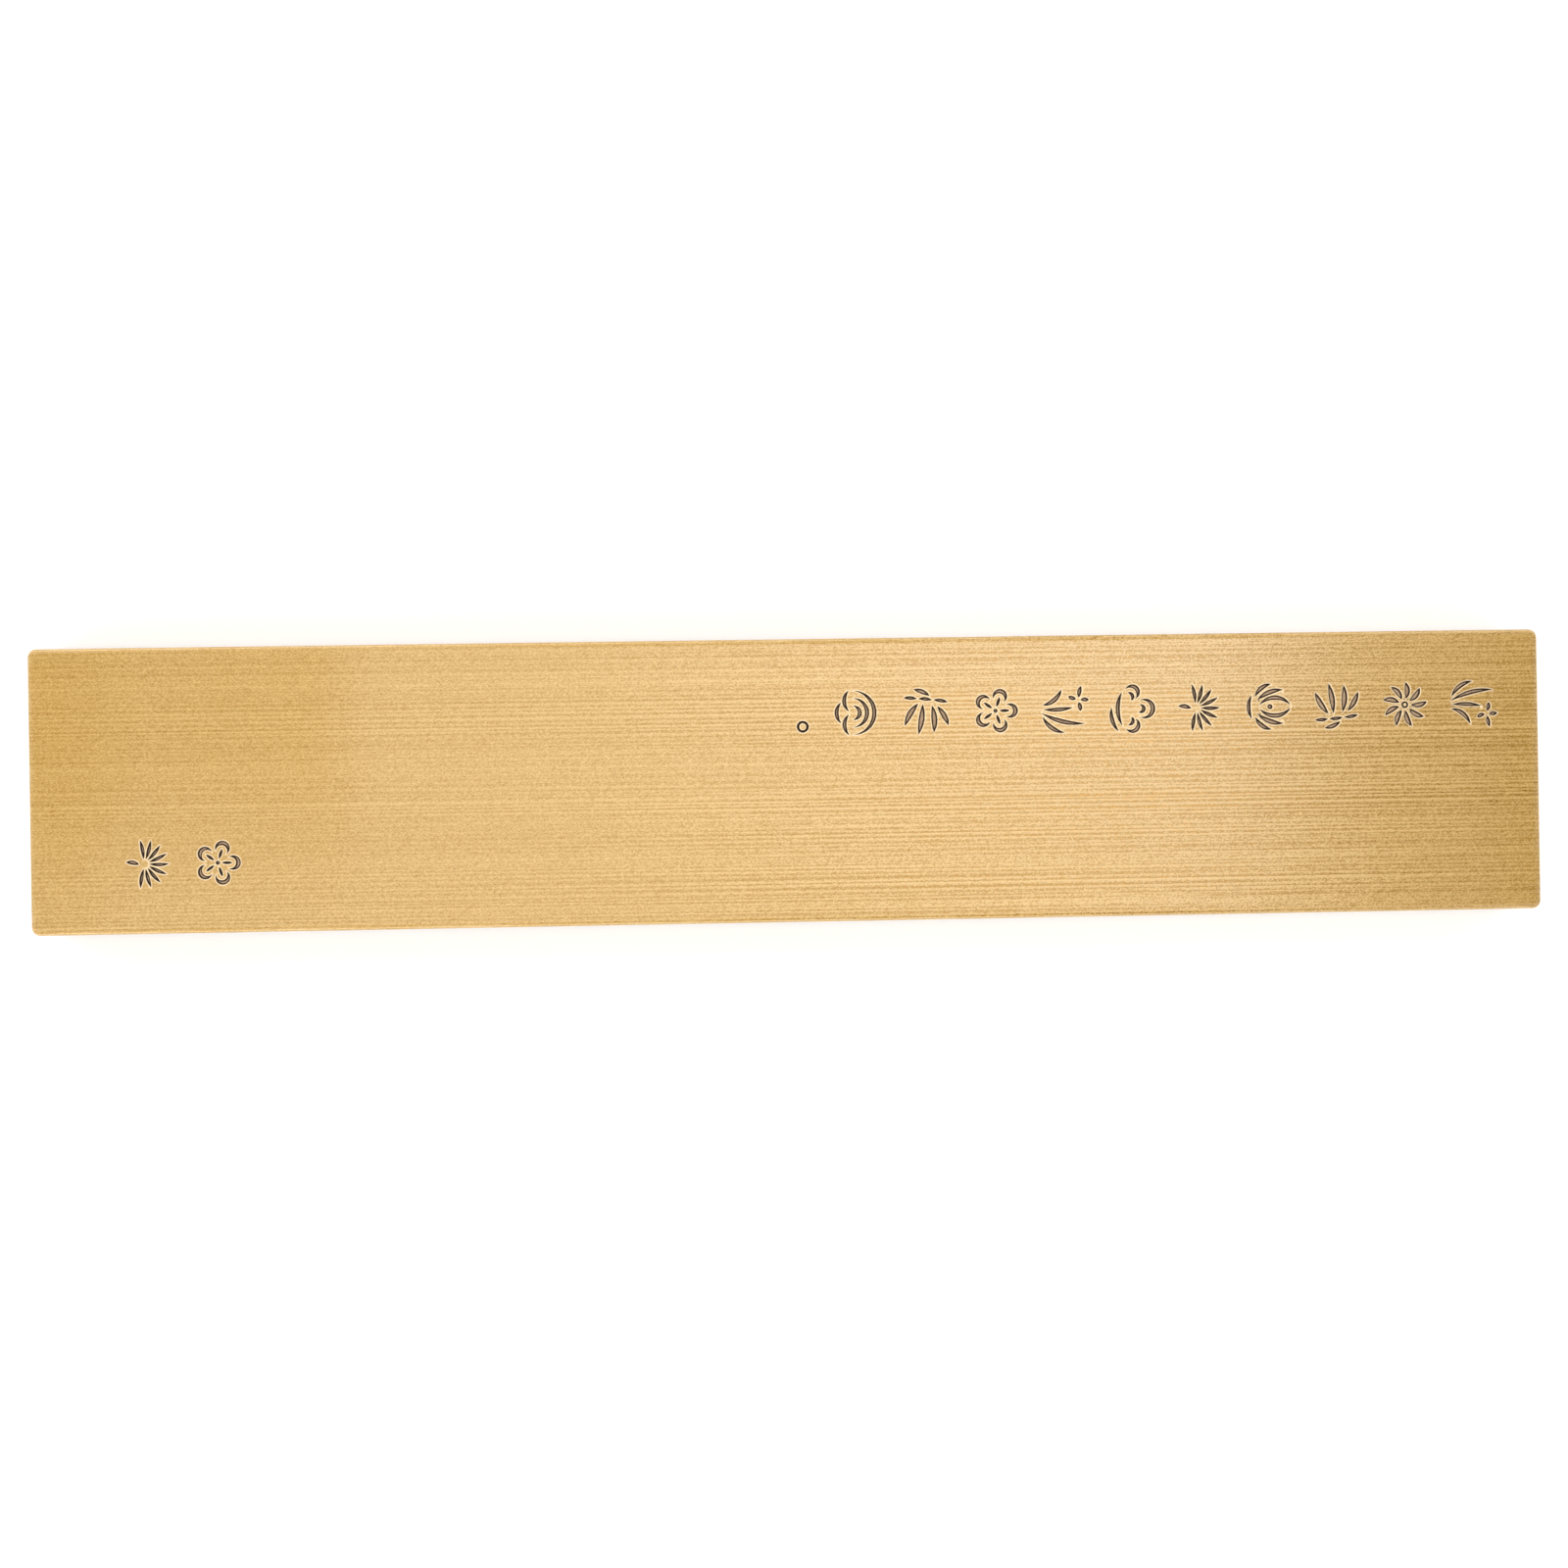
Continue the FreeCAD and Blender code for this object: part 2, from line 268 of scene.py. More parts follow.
class Finish:  # a node tree and the few ways that this script adds to it
    def __init__(self, tree):
        self.tree = tree
        tree.nodes.clear()

    def add(self, kind, settings=None, sockets=None, output=0):
        node = self.tree.nodes.new(kind)
        for name, value in (settings or {}).items():
            setattr(node, name, value)
        for name, value in (sockets or {}).items():
            if isinstance(value, Wire):
                self.tree.links.new(value.socket, node.inputs[name])
            else:
                node.inputs[name].default_value = value
        return Wire(self, node.outputs[output]) if node.outputs else None

    def maths(self, operation, *values):
        return self.add("ShaderNodeMath", {"operation": operation}, dict(enumerate(values)))

    def place(self):  # millimetres in the object's own frame
        where = self.add("ShaderNodeTexCoord", output=3)
        return self.stretch(where, (1000, 1000, 1000))

    def stretch(self, vector, scale):
        return self.add("ShaderNodeVectorMath", {"operation": "MULTIPLY"}, {0: vector, 1: scale})

    def cloud(self, vector, scale, detail=2.0, roughness=0.5):  # soft noise about 0
        # turned askew, so that the noise's own grid never lines up with the object
        askew = {"Vector": self.stretch(vector, scale), "Rotation": (0.6, 0.9, 0.4)}
        turned = self.add("ShaderNodeVectorRotate", {"rotation_type": "EULER_XYZ"}, askew)
        sockets = {"Vector": turned, "Scale": 1.0, "Detail": detail}
        sockets["Roughness"] = roughness
        return self.add("ShaderNodeTexNoise", {}, sockets) - 0.5

    def parts(self, vector):  # its x, y and z
        first = self.add("ShaderNodeSeparateXYZ", {}, {0: vector})
        return [Wire(self, socket) for socket in first.socket.node.outputs]

    def painted(self, name):
        return self.add("ShaderNodeAttribute", {"attribute_name": name}, output=2)

    def ease(self, value, low, high):  # 0 at low and 1 at high, smoothly, either way round
        settings = {"interpolation_type": "SMOOTHSTEP"}
        return self.add(
            "ShaderNodeMapRange", settings, {"Value": value, "From Min": low, "From Max": high}
        )

    def mix(self, factor, first, second):
        colours = {0: factor, 6: first, 7: second}
        return self.add("ShaderNodeMix", {"data_type": "RGBA"}, colours, output=2)

    def bump(self, height, depth, strength=1.0):
        sockets = {"Height": height, "Distance": depth * mm, "Strength": strength}
        return self.add("ShaderNodeBump", {}, sockets)


def newMaterial(name):
    material = bpy.data.materials.new(name)
    material.use_nodes = True
    return material, Finish(material.node_tree)


def closeMaterial(finish, sockets):
    surface = finish.add("ShaderNodeBsdfPrincipled", {}, sockets)
    finish.add("ShaderNodeOutputMaterial", {}, {"Surface": surface})


def rgb(r, g, b):
    return (r, g, b, 1.0)


# Brass bar

brassLook = {
    "darkLine": rgb(0.430, 0.229, 0.040),
    "brightLine": rgb(0.775, 0.520, 0.194),
    "rim": rgb(0.93, 0.74, 0.48),          # fresh metal beside a cut, and the eased edges' wear and painted highlight
    "scorched": rgb(0.050, 0.026, 0.014),  # the walls of the cuts
    "pit": rgb(0.10, 0.055, 0.025),
    "shadeRange": (-1.6, 1.6),             # line strength at the dark and the bright colour
    "longLines": 0.35,                     # how strongly each sort of line shows
    "fineLines": 1.6,
    "shortLines": 1.2,
    "ribs": 1.6,
    "bands": 0.03,
    "endLines": 3.5,
    "hairs": 0.45,
    "patina": 0.02,
    "toothLit": 2.2,                   # the speckle between the lines
    "toothEven": 1.6,
    "ribPitch": 0.48,                      # mm from rib to rib
    "ribSway": 14.0,
    "lineDepth": 0.0012,                   # mm
    "grainLitEven": 0.4,                   # painted sheen: how strongly the lines show everywhere
    "grainLitRise": 1.35,                  # and how much stronger right of the middle, where the light falls on them most
    "grainLitRiseOver": (-35.0, 50.0),     # mm along the bar
    "grainLitFall": 0.9,
    "grainLitFallOver": (40.0, 75.0),
    "wearAndHighlight": 0.25,                          # of the eased edges: rubbed wear and a painted highlight
    "freshMetal": 0.7,
    "freshEdge": (0.17, 0.06),             # mm from the cut
    "scorchedEdge": (0.012, -0.02),
    "pits": 0.5,
    "pitsPerMm": 0.275,
    "pitEdge": (0.03, 0.018),
    "roughness": 0.45,
    "anisotropy": 0.7,
    "lacquerThin": 0.6,                    # over the darkest lines
    "lacquerMore": 0.6,                    # added over the brightest
    "lacquerRoughness": 0.06,
    "lacquerIndex": 1.66,
    "mirror": 0.2,
}


def brushedBrass():
    material, f = newMaterial("brushedBrass")
    look = brassLook
    p = f.place()
    across, up, along = f.parts(p)
    faces = f.parts(f.add("ShaderNodeTexCoord", output=1))
    endOn = f.ease(abs(faces[2]), 0.6, 0.8)
    flat = f.ease(abs(faces[1]), 0.6, 0.9)
    # lines run along the bar (its own z), and across it on its two ends
    longLines = f.cloud(p, (4.0, 4.0, 0.006), 0.0)
    fineLines = f.cloud(p, (9.0, 9.0, 0.01), 0.0)
    shortLines = f.cloud(p, (8.0, 8.0, 0.35), 1.0)
    tooth = f.cloud(p, (8.0, 8.0, 5.0), 0.0) * (flat * 0.7 + 0.3)
    bands = f.cloud(p, (0.6, 0.6, 0.004), 3.0, 0.6)
    endLines = f.cloud(p, (0.12, 8.0, 1.0), 2.0, 0.6)
    # evenly spaced ribs that the belt left, stronger in some bands than in others
    sway = f.cloud(p, (0.7, 0.7, 0.003), 1.0) * look["ribSway"]
    ribs = f.maths("SINE", (across + up) * (math.tau / look["ribPitch"]) + sway)
    ribs = ribs * (f.ease(f.cloud(p, (0.3, 0.3, 0.004), 1.0), -0.2, 0.25) * 0.5 + 0.1)
    # painted sheen: the lines show more strongly right of the middle, where the light falls on
    # them most; the shader's z counts millimetres along the bar
    rise = f.ease(along, *look["grainLitRiseOver"]) * look["grainLitRise"]
    fall = f.ease(along, *look["grainLitFallOver"]) * look["grainLitFall"]
    grainLit = rise - fall + look["grainLitEven"]
    brushed = longLines * look["longLines"] + ribs * look["ribs"]
    brushed = brushed + fineLines * look["fineLines"] + shortLines * look["shortLines"]
    brushed = brushed * grainLit + bands * look["bands"]
    speckle = tooth * (grainLit * look["toothLit"] + look["toothEven"])
    lines = brushed + (endLines * look["endLines"] - brushed) * endOn + speckle
    lines = lines * (flat * 0.6 + 0.4)
    patina = f.cloud(p, (0.09, 0.2, 0.05), 3.0, 0.55)
    # a few hair-thin scratches shine right along the bar
    hairs = f.ease(abs(f.cloud(p, (1.2, 1.2, 0.004), 1.0)), 0.025, 0.006) * (1.0 - endOn)
    strength = lines + patina * look["patina"] + hairs * grainLit * look["hairs"]
    shade = f.ease(strength, *look["shadeRange"])
    colour = f.mix(shade, look["darkLine"], look["brightLine"])
    # little pits in the metal
    grains = {"Vector": f.stretch(p, (look["pitsPerMm"],) * 3), "Scale": 1.0}
    pit = f.ease(f.add("ShaderNodeTexVoronoi", {}, grains), *look["pitEdge"])
    colour = f.mix(pit * look["pits"], colour, look["pit"])
    # eased edges are painted brighter, unevenly: partly rubbed wear, partly a painted highlight
    # along them
    wearAndHighlight = f.painted("wearAndHighlight") * f.ease(f.cloud(p, (0.8, 0.8, 0.12), 3.0, 0.5), -0.3, 0.3)
    colour = f.mix(wearAndHighlight * look["wearAndHighlight"], colour, look["rim"])
    # beside a cut the metal is fresh and bright, and inside it is scorched
    cut = f.painted("fromCut")
    ragged = cut + f.cloud(p, (9.0, 9.0, 9.0), 2.0) * 0.05
    fresh = f.ease(ragged, *look["freshEdge"])
    scorched = f.ease(cut, *look["scorchedEdge"])
    colour = f.mix(fresh * look["freshMetal"], colour, look["rim"])
    colour = f.mix(scorched, colour, look["scorched"])
    rough = look["roughness"] - (1.0 - flat) * 0.1 + lines * 0.10
    rough = rough - wearAndHighlight * 0.08 - fresh * 0.06 + scorched * 0.25
    lacquer = shade * look["lacquerMore"] + look["lacquerThin"]
    closeMaterial(
        f,
        {
            "Base Color": colour,
            "Metallic": 1.0 - scorched * 0.8,
            "Roughness": rough,
            "Normal": f.bump(lines * (1.0 - scorched), look["lineDepth"]),
            "Anisotropic": look["anisotropy"],
            "Coat Weight": lacquer * (1.0 - scorched),
            "Coat Roughness": look["lacquerRoughness"],
            "Coat IOR": look["lacquerIndex"],
            "Specular IOR Level": look["mirror"],
        },
    )
    return material


barShape = {
    "cornerRadius": 0.9,
    "edgeEase": 0.25,
    "easeSteps": 5,
    "easeUneven": 0.06,      # how much the hand-eased edge varies
    "outlineStep": 1.6,
    "wallLean": 0.09,        # how far a cut's wall leans in by its floor
    "rimDrop": 0.018,
    "rimWidth": 0.05,
    "besideCut": (0.05, 0.1, 0.18),
    "insideCut": (-0.045, -0.09, -0.17),
    "openFace": 0.6,         # painted where no cut is near
    "meshStep": 5.0,
    "meshMargin": 2.5,
    "wearAndHighlightWidth": 0.35,
    "wearAndHighlightOnRim": 0.7,        # painted where an eased edge begins and ends, 1 along its middle
    "smoothBelow": 32,       # degrees between faces that shade as one
}


def gridOver(half, step, margin):
    across = [np.arange(-h + margin, h - margin + 1e-6, step) for h in half]
    return np.stack(np.meshgrid(*across), -1).reshape(-1, 2)


def distancesToCuts(points, cuts):
    # only the ornament near a point is looked at
    away = np.full(len(points), barShape["openFace"])
    for loops in cuts:
        corners = np.concatenate(loops)
        low, high = corners.min(0) - 1.0, corners.max(0) + 1.0
        near = ((points > low) & (points < high)).all(1)
        if near.any():
            away[near] = np.minimum(away[near], fromCut(points[near], loops))
    return away


def layAcrossGrain(bar):
    # the bar's own x, y and z run across, up and along it, and its texture space starts far
    # away, so that the shine spreads across the brushed lines on every side
    turn = Matrix(((0, 0, 1, 0), (1, 0, 0, 0), (0, 1, 0, 0), (0, 0, 0, 1)))
    bar.data.transform(turn.inverted())
    bar.matrix_world = turn @ bar.matrix_world
    bar.data.use_auto_texspace = False
    bar.data.texspace_location = (-10, 8, 0)
    bar.data.texspace_size = (1, 1, 1)


def makeBar(cuts, floorDepth):
    s = barShape
    low, high = boxOf("brass_bar")
    half = high[:2]
    ease = s["edgeEase"]
    outer = plateOutline(half, s["cornerRadius"], 0, s["outlineStep"])
    inward = inwardNormals(outer)

    def unevenAt(seed):
        values = [noise.noise(Vector((*(p * 0.35), seed))) for p in outer]
        return ease * (1 + s["easeUneven"] * np.array(values))

    shell = Shell()
    topEase, lowEase = unevenAt(1.0), unevenAt(9.0)
    rim = outer + inward * topEase[:, None]
    innerRim = plateOutline(half, s["cornerRadius"], ease + s["wearAndHighlightWidth"], s["outlineStep"])
    allCuts = [loop for loops in cuts for loop in loops]
    loose = [innerRim, gridOver(half, s["meshStep"], s["meshMargin"])]
    for loops in cuts:
        loose += [beside(loops, offset) for offset in s["besideCut"] + s["insideCut"]]
        loose.append(spines(loops))
    loose = np.concatenate(loose)
    points, triangles, place = triangulate([rim] + allCuts, loose)
    away = distancesToCuts(points, cuts)
    drops = np.interp(
        away, [-s["wallLean"], 0, s["rimWidth"]], [-floorDepth, -s["rimDrop"], 0]
    )
    # how much wear and painted highlight each point of the eased edges gets
    wearAndHighlight = np.zeros(len(points))
    upper = [place[i] for i in range(len(outer))]
    wearAndHighlight[upper] = s["wearAndHighlightOnRim"]
    shell.add(np.column_stack((points, high[2] + drops)), np.column_stack((away, wearAndHighlight)))
    shell.faces += triangles

    def easedRings(heightOf, easeOf, turns):
        rings = []
        for turn in turns:
            inset = easeOf * (1 - math.sin(turn))
            height = heightOf + easeOf * math.cos(turn)
            outline = outer + inward * inset[:, None]
            wearAndHighlight = 1.0 if 0.2 < abs(math.cos(turn)) < 0.95 else s["wearAndHighlightOnRim"]
            rings.append(shell.ring(outline, height, (s["openFace"], wearAndHighlight)))
        return rings

    turns = np.linspace(0, math.pi / 2, s["easeSteps"] + 1)
    rings = [upper] + easedRings(high[2] - topEase, topEase, turns[1:])
    plain = (s["openFace"], 0.0)
    rings.append(shell.ring(outer, high[2] - ease - s["wearAndHighlightWidth"], plain))
    rings.append(shell.ring(outer, low[2] + ease + s["wearAndHighlightWidth"], plain))
    rings += easedRings(low[2] + lowEase, lowEase, math.pi / 2 + turns)
    for above, below in zip(rings, rings[1:]):
        shell.bridge(above, below)
    shell.faces.append(tuple(reversed(rings[-1])))
    paints = ("fromCut", "wearAndHighlight")
    finish, smooth = brushedBrass(), s["smoothBelow"]
    piece = shell.build("brassBar", paints, smooth, finish, turned=True)
    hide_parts("brass_bar")
    return piece


# Enamel in the cuts

enamelLook = {
    "floor": rgb(0.36, 0.230, 0.135),
    "floorLight": rgb(0.52, 0.365, 0.235),
    "edge": rgb(0.030, 0.015, 0.007),
    "edgeFades": (0.20, 0.12),   # mm in from the wall, for the painted shade along it
    "mottleRange": (-0.25, 0.3),
    "ragged": 0.05,
    "roughness": 0.55,
    "roughVaries": 0.3,
    "mirror": 0.2,
    "gritDepth": 0.01,           # mm
}

enamelShape = {
    "inset": 0.045,          # the enamel stops where the leaning wall reaches its surface
    "climb": 0.035,          # how far it climbs the wall
    "climbEnds": (0.09, 0.14),   # mm in from the wall where it is low, and where it is level
    "insideCut": (-0.08, -0.13, -0.19),
    "underside": 0.002,      # mm clear of the recess floor
    "smoothBelow": 50,
}


def darkEnamel():
    material, f = newMaterial("darkEnamel")
    look = enamelLook
    p = f.place()
    mottle = f.cloud(p, (3.0, 3.0, 3.0), 3.0, 0.6)
    paleness = f.ease(mottle, *look["mottleRange"])
    colour = f.mix(paleness, look["floor"], look["floorLight"])
    # painted shade: the enamel darkens along the walls of the cut
    depthIn = f.painted("insideCut") + f.cloud(p, (8.0, 8.0, 8.0), 2.0) * look["ragged"]
    edge = f.ease(depthIn, *look["edgeFades"])
    colour = f.mix(edge, colour, look["edge"])
    closeMaterial(
        f,
        {
            "Base Color": colour,
            "Roughness": look["roughness"] + mottle * look["roughVaries"],
            "Specular IOR Level": look["mirror"],
            "Normal": f.bump(f.cloud(p, (14.0, 14.0, 14.0), 2.0), look["gritDepth"]),
        },
    )
    return material


def makeInlay(node, loops, finish):
    s = enamelShape
    low, high = boxOf(node)
    outlines = [drawnIn(loop, loops, s["inset"]) for loop in loops]
    loose = [beside(loops, offset) for offset in s["insideCut"]] + [spines(loops)]
    points, triangles, _ = triangulate(outlines, np.concatenate(loose))
    middles = np.array([points[list(t)].mean(0) for t in triangles])
    kept = [t for t, away in zip(triangles, fromCut(middles, outlines)) if away < 0]
    used = sorted({i for t in kept for i in t})
    newPlace = {old: new for new, old in enumerate(used)}
    kept = [tuple(newPlace[i] for i in t) for t in kept]
    points = points[used]
    depthIn = -fromCut(points, loops)
    climb = s["climb"]
    rise = np.interp(depthIn, [s["inset"], *s["climbEnds"]], [climb, climb * 0.3, 0])
    shell = Shell()
    top = shell.ring(points, high[2] + rise, depthIn[:, None])
    bottom = shell.ring(points, low[2] + s["underside"], depthIn[:, None])
    shell.faces += kept
    shell.faces += [tuple(bottom[i] for i in reversed(t)) for t in kept]
    edges = {}
    for t in kept:
        for a, b in zip(t, t[1:] + t[:1]):
            edges.setdefault(frozenset((a, b)), []).append((a, b))
    for pair in edges.values():
        if len(pair) == 1:
            a, b = pair[0]
            shell.faces.append((top[a], bottom[a], bottom[b], top[b]))
    name = node.replace("enamel", "inlay")
    piece = shell.build(name, ("insideCut",), s["smoothBelow"], finish)
    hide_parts(node)
    return piece


# Felt pad and its fuzz

feltLook = {
    "dark": rgb(0.012, 0.009, 0.008),
    "light": rgb(0.075, 0.061, 0.052),
    "shadeRange": (-0.3, 0.34),
    "strands": 0.8,
    "crossed": 0.8,
    "tufts": 0.9,
    "roughness": 0.92,
    "napDepth": 0.16,        # mm
    "sheen": 0.35,
    "sheenRoughness": 0.6,
}

feltShape = {
    "cornerRadius": 0.7,
    "outlineStep": 0.8,
    "edgeRound": 0.16,
    "lumps": 0.05,
    "sag": 0.03,             # how far its faces dip between the high spots
    "edgeRings": (           # how far down the cut edge, and how much of the rounding there
        (0.06, 0.3), (0.2, 0.0), (0.5, 0.0), (0.8, 0.0), (0.94, 0.3),
    ),
    "meshStep": 1.8,
    "meshMargin": 1.0,
    "smoothBelow": 60,
}

fuzzShape = {
    "fibres": 900,
    "thickness": 0.018,
    "length": (0.15, 0.62),
    "rootInset": 0.06,       # mm inside the felt's edge
    "rootStep": 0.25,
    "rootMargin": 0.12,      # mm clear of the felt's two faces
    "upDown": 0.25,          # how far a fibre strays from straight out
    "sideways": 1.6,
    "curl": 0.6,
    "taper": 0.6,
    "lowest": 0.03,
    "past": 0.05,            # mm that a fibre may reach above the felt
}


def pressedFelt():
    material, f = newMaterial("pressedFelt")
    look = feltLook
    p = f.place()
    strands = f.cloud(p, (2.2, 3.0, 5.0), 5.0, 0.7)
    crossed = f.cloud(p, (0.7, 3.2, 2.0), 3.0, 0.6) + f.cloud(p, (3.2, 0.7, 2.0), 3.0, 0.6)
    tufts = f.cloud(p, (0.35, 0.35, 0.8), 3.0, 0.6)
    pile = strands * look["strands"] + crossed * look["crossed"] + tufts * look["tufts"]
    shade = f.ease(pile, *look["shadeRange"])
    closeMaterial(
        f,
        {
            "Base Color": f.mix(shade, look["dark"], look["light"]),
            "Roughness": strands * 0.1 + look["roughness"],
            "Normal": f.bump(strands + crossed + tufts * 0.6, look["napDepth"]),
            "Sheen Weight": look["sheen"],
            "Sheen Roughness": look["sheenRoughness"],
        },
    )
    return material


def makeFelt(finish):
    s = feltShape
    low, high = boxOf("felt_pad")
    half = high[:2]
    outer = plateOutline(half, s["cornerRadius"], 0, s["outlineStep"])
    inward = inwardNormals(outer)
    shell = Shell()

    def face(rim, height, lift, seed):
        grid = gridOver(half, s["meshStep"], s["meshMargin"])
        points, triangles, place = triangulate([rim], grid)
        values = [noise.noise(Vector((*(p * 0.6), seed))) for p in points]
        heights = height + lift * np.abs(values)
        found = shell.ring(points, heights, (0.0,))
        return [found[place[i]] for i in range(len(rim))], found, triangles

    def wallRing(inset, height, seed):
        bumps = [noise.noise(Vector((*(p * 0.9), seed))) for p in outer]
        inset = inset + s["lumps"] * (0.5 + np.array(bumps))
        return outer + inward * inset[:, None], height

    rounding = s["edgeRound"]
    rim, height = wallRing(rounding, high[2], 2.0)
    above, found, triangles = face(rim, height, -s["sag"], 3.0)
    shell.faces += [tuple(found[i] for i in t) for t in triangles]
    for share, inset in s["edgeRings"]:
        outline, height = wallRing(rounding * inset, high[2] * (1 - share), 4.0 + share)
        below = shell.ring(outline, height, (0.0,))
        shell.bridge(above, below)
        above = below
    rim, height = wallRing(rounding, low[2], 6.0)
    below, found, triangles = face(rim, height, s["sag"], 7.0)
    shell.faces += [tuple(found[i] for i in reversed(t)) for t in triangles]
    shell.bridge(above, below)
    piece = shell.build("feltPad", ("pile",), s["smoothBelow"], finish)
    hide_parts("felt_pad")
    return piece


def makeFuzz(finish):
    # loose fibres along the felt's cut edge
    s = fuzzShape
    high = boxOf("felt_pad")[1]
    radius = feltShape["cornerRadius"]
    outer = plateOutline(high[:2], radius, s["rootInset"], s["rootStep"])
    inward = inwardNormals(outer)
    upDown, sideways, curly = s["upDown"], s["sideways"], s["curl"]
    dice = random.Random(11)
    shell = Shell()
    for _ in range(s["fibres"]):
        at = dice.randrange(len(outer))
        height = dice.uniform(s["rootMargin"], high[2] - s["rootMargin"])
        start = Vector((*outer[at], height))
        out = Vector((*-inward[at], dice.uniform(-upDown, upDown)))
        side = Vector((*inward[at][::-1] * (1, -1), 0)) * dice.uniform(-sideways, sideways)
        length = dice.uniform(*s["length"])
        curl = Vector([dice.uniform(-curly, curly) for _ in range(3)])
        above = None
        for step in range(5):
            share = step / 4
            way = (out + side * share + curl * share ** 2).normalized()
            point = start + way * length * share
            point.z = min(max(point.z, s["lowest"]), high[2] + s["past"])
            thick = s["thickness"] * (1 - s["taper"] * share)
            heading = (out + side * share).normalized()
            across = heading.cross(Vector((0, 0, 1))).normalized()
            up = across.cross(heading)
            spots = []
            for k in range(3):
                turn = math.tau * k / 3
                reach = across * math.cos(turn) + up * math.sin(turn)
                spots.append(point + reach * thick / 2)
            ring = shell.add(spots, (0.0,))
            if above:
                shell.bridge(above, ring)
            else:
                shell.faces.append(tuple(ring))
            above = ring
        shell.faces.append(tuple(reversed(above)))
    return shell.build("feltFuzz", ("pile",), feltShape["smoothBelow"], finish)


# Adhesive film

filmLook = {
    "dull": rgb(0.60, 0.55, 0.43),
    "pale": rgb(0.78, 0.74, 0.62),
    "shadeRange": (-0.3, 0.3),
    "roughness": 0.35,
    "roughVaries": 0.3,
    "wrinkleDepth": 0.02,    # mm
}


def adhesiveFilm():
    material, f = newMaterial("adhesiveFilm")
    look = filmLook
    p = f.place()
    wrinkles = f.cloud(p, (0.4, 1.2, 1.2), 4.0, 0.6)
    shade = f.ease(wrinkles, *look["shadeRange"])
    closeMaterial(
        f,
        {
            "Base Color": f.mix(shade, look["dull"], look["pale"]),
            "Roughness": wrinkles * look["roughVaries"] + look["roughness"],
            "Normal": f.bump(wrinkles, look["wrinkleDepth"]),
        },
    )
    return material


# Stage: floor, light and camera

stage = {
    "floorSize": 8.0,
    "floorColour": rgb(0.90, 0.90, 0.90),
    "floorRoughness": 0.9,
    "floorLift": 0.22,               # a little light of its own, as a lit-through table has
    "room": 0.45,                    # the pale room's own light
    "horizon": 0.56,                 # more of it low down
    "horizonFades": (0.52, 0.30),
    "tube": 2.80,                    # two long tubes overhead
    "tubeInner": (0.45, 0.60),       # their edges, as sideways over upwards
    "tubeOuter": (1.0, 0.85),
    "tubeLow": (0.36, 0.52),         # they end this high above the floor
    "tubeEven": 1.36,
    "tubeFall": 0.80,                # weaker towards the right
    "tubeFades": (-0.30, 0.30),
    "tubeLeftMore": 0.22,            # and a little stronger again at both ends
    "tubeLeftEnd": (-0.20, -0.32),
    "tubeRightMore": 0.33,
    "tubeRightEnd": (0.24, 0.32),
    "panelHeight": 0.5,
    "panelHalf": (0.30, 0.075),
    "panelFaint": 0.6,               # how bright its fainter left end is
    "panelFarLeft": (-0.22, -0.19),
    "panelFarRight": (0.275, 0.235),
    "panelLeft": (-0.137, -0.115),   # where its brighter part begins
    "panelLow": (0.012, -0.045),     # here that goes on to the left, more weakly
    "panelLowShare": 0.85,
    "panelRight": (0.238, 0.150),    # and where that fades out
    "panelEven": 0.95,
    "panelExtra": 1.15,              # added as it rises to the right
    "panelRise": (-0.12, 0.15),
    "panelMiddle": 0.92,             # share of the rise along its middle
    "panelTilt": 10.0,               # and how that grows towards its far side, for each metre
}

cameraSet = {
    "lens": 50.0,
    "sensor": 36.0,
    "place": (-10.2, -0.4, 237.3),   # mm
    "turn": (0.05, -2.26, -0.92),    # degrees
}


def flatSheet(name, halfX, halfY, height, finish):
    mesh = bpy.data.meshes.new(name)
    corners = [(-halfX, -halfY), (halfX, -halfY), (halfX, halfY), (-halfX, halfY)]
    mesh.from_pydata([(x, y, height) for x, y in corners], [], [(0, 1, 2, 3)])
    mesh.materials.append(finish)
    sheet = bpy.data.objects.new(name, mesh)
    bpy.context.scene.collection.objects.link(sheet)
    return sheet


def makeFloor():
    material, f = newMaterial("paleFloor")
    closeMaterial(
        f,
        {
            "Base Color": stage["floorColour"],
            "Roughness": stage["floorRoughness"],
            "Emission Color": rgb(1, 1, 1),
            "Emission Strength": stage["floorLift"],
        },
    )
    size = stage["floorSize"] / 2
    flatSheet("floor", size, size, 0.0, material)


def makePanel():
    # a soft overhead panel, brightest right of the middle
    material, f = newMaterial("softPanel")
    where = f.add("ShaderNodeTexCoord", output=3)
    x, y, _ = f.parts(where)
    ends = f.ease(x, *stage["panelFarLeft"]) * f.ease(x, *stage["panelFarRight"])
    left = f.ease(x, *stage["panelLeft"])
    low = f.ease(y, *stage["panelLow"]) * stage["panelLowShare"]
    left = left + low * (1.0 - left)
    right = f.ease(x, *stage["panelRight"])
    rise = f.ease(x, *stage["panelRise"]) * (y * stage["panelTilt"] + stage["panelMiddle"])
    bright = left * right * (stage["panelEven"] + rise * stage["panelExtra"])
    power = ends * stage["panelFaint"] + bright
    glow = f.add("ShaderNodeEmission", {}, {"Color": rgb(1, 1, 1), "Strength": power})
    f.add("ShaderNodeOutputMaterial", {}, {"Surface": glow})
    halfX, halfY = stage["panelHalf"]
    flatSheet("softPanel", halfX, halfY, stage["panelHeight"], material)


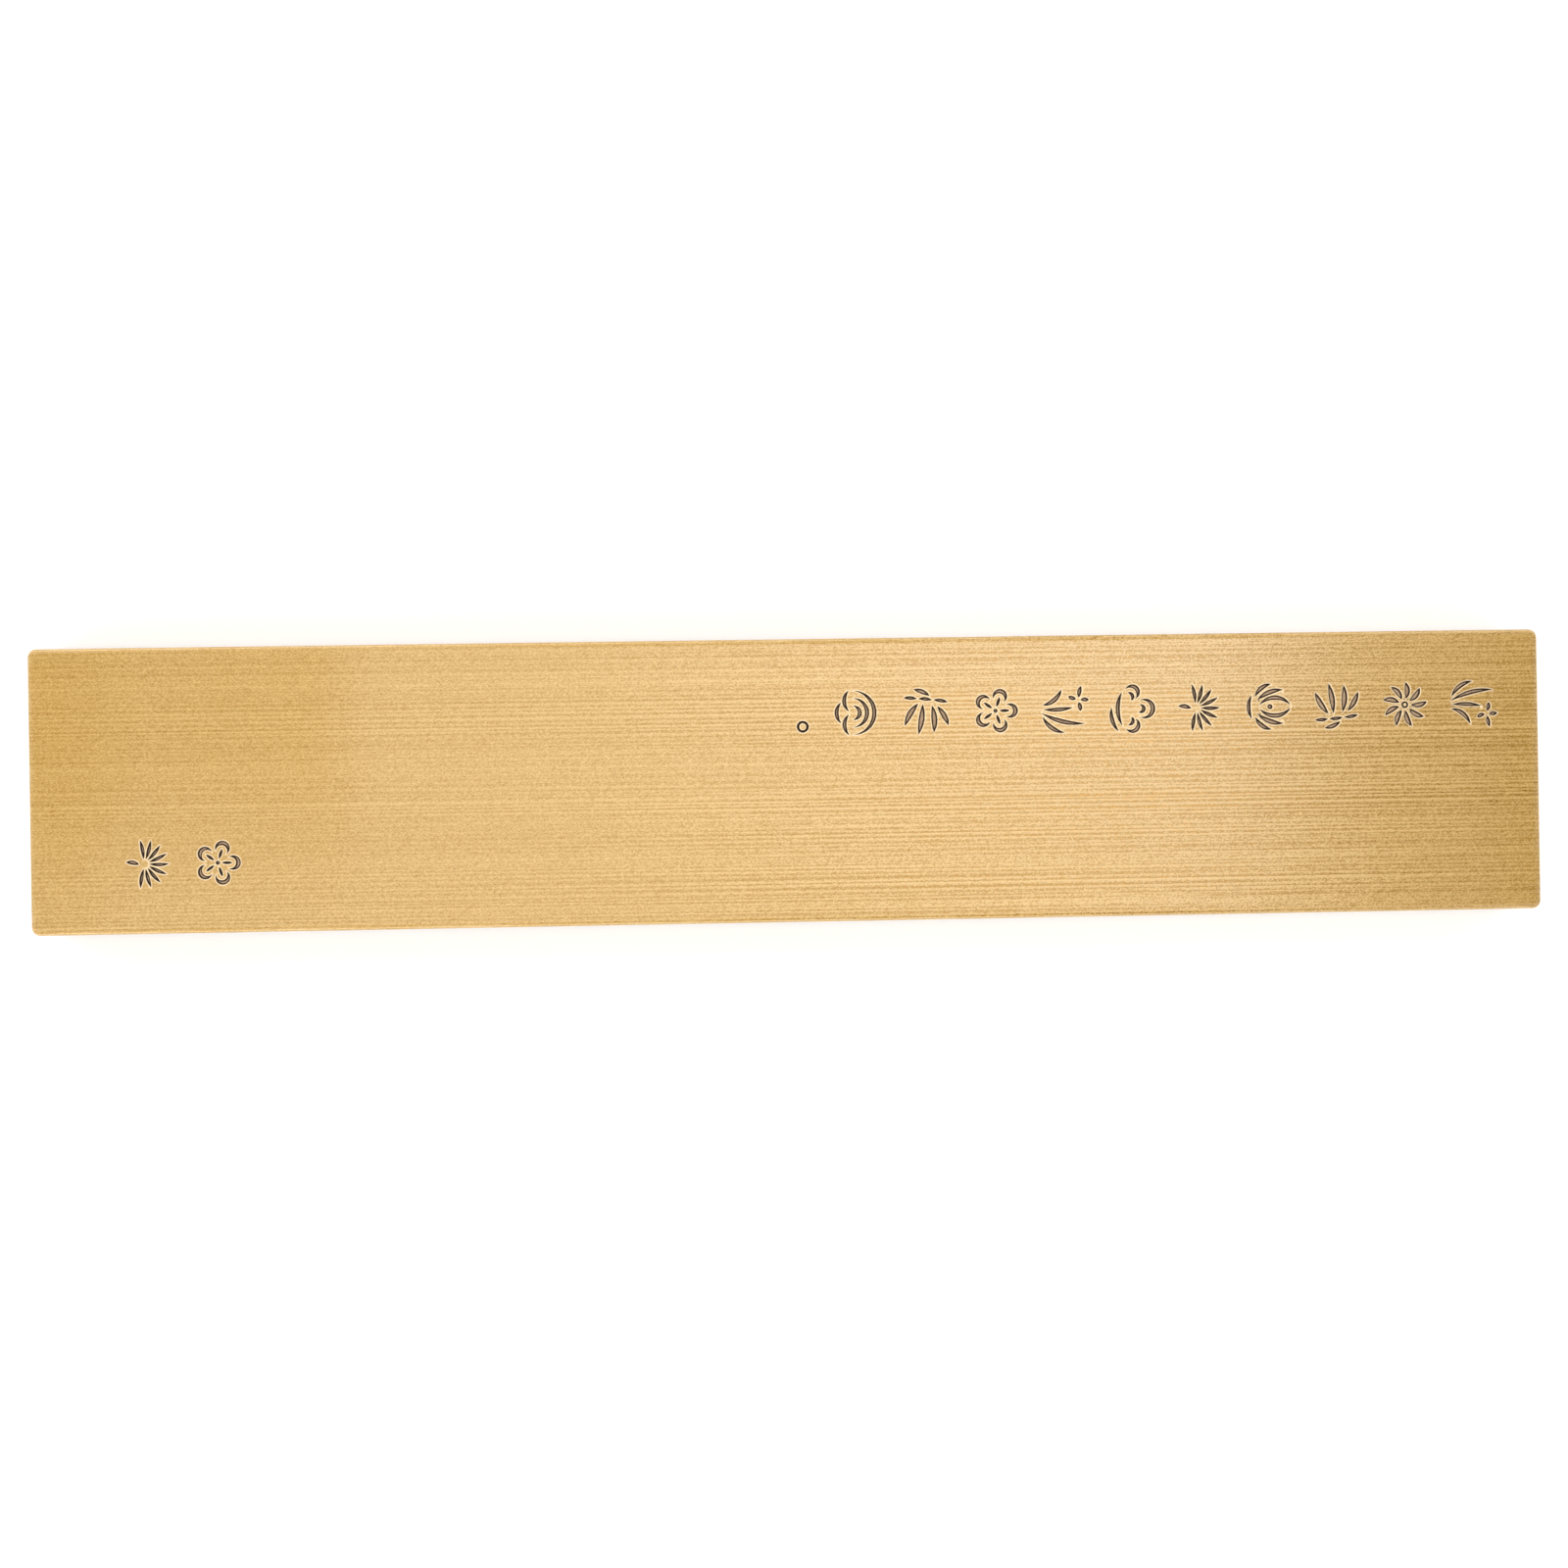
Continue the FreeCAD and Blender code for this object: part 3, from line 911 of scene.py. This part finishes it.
def makeRoom():
    world = bpy.data.worlds.new("paleRoom")
    bpy.context.scene.world = world
    world.use_nodes = True
    f = Finish(world.node_tree)
    way = f.add("ShaderNodeTexCoord", output=0)
    x, y, z = f.parts(way)
    # two long soft tubes overhead, one on each side of the bar and parallel to it
    tilt = abs(y) / f.maths("MAXIMUM", z, 0.05)
    tubes = f.ease(tilt, *stage["tubeInner"]) * f.ease(tilt, *stage["tubeOuter"])
    fall = f.ease(x, *stage["tubeFades"]) * stage["tubeFall"]
    leftMore = f.ease(x, *stage["tubeLeftEnd"]) * stage["tubeLeftMore"]
    rightMore = f.ease(x, *stage["tubeRightEnd"]) * stage["tubeRightMore"]
    tubes = tubes * f.ease(z, *stage["tubeLow"])
    tubes = tubes * (stage["tubeEven"] - fall + leftMore + rightMore)
    horizon = f.ease(z, *stage["horizonFades"]) * stage["horizon"]
    power = tubes * stage["tube"] + horizon + stage["room"]
    back = f.add("ShaderNodeBackground", {}, {"Color": rgb(1, 1, 1), "Strength": power})
    f.add("ShaderNodeOutputWorld", {}, {"Surface": back})


def makeCamera():
    data = bpy.data.cameras.new("camera")
    data.lens = cameraSet["lens"]
    data.sensor_width = cameraSet["sensor"]
    data.clip_start = 0.01
    camera = bpy.data.objects.new("camera", data)
    camera.location = Vector(cameraSet["place"]) * mm
    camera.rotation_euler = [math.radians(turn) for turn in cameraSet["turn"]]
    bpy.context.scene.collection.objects.link(camera)
    bpy.context.scene.camera = camera


makeCamera()
makeRoom()
makeFloor()
makePanel()
bpy.context.scene.view_settings.view_transform = "Standard"
print("stage ready")

cuts = {node: [roundOff(loop) for loop in topLoops(node)] for node in enamelNodes}
barTop = boxOf("brass_bar")[1][2]
cutFloor = boxOf(enamelNodes[0])[0][2]
makeBar(list(cuts.values()), barTop - cutFloor)
print("brass bar ready")

enamel = darkEnamel()
for node, loops in cuts.items():
    makeInlay(node, loops, enamel)
print("enamel ready")

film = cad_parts["adhesive_film"].data
film.materials.clear()
film.materials.append(adhesiveFilm())
print("adhesive film ready")

feltFinish = pressedFelt()
felt = makeFelt(feltFinish)
fuzz = makeFuzz(feltFinish)
print("felt ready")
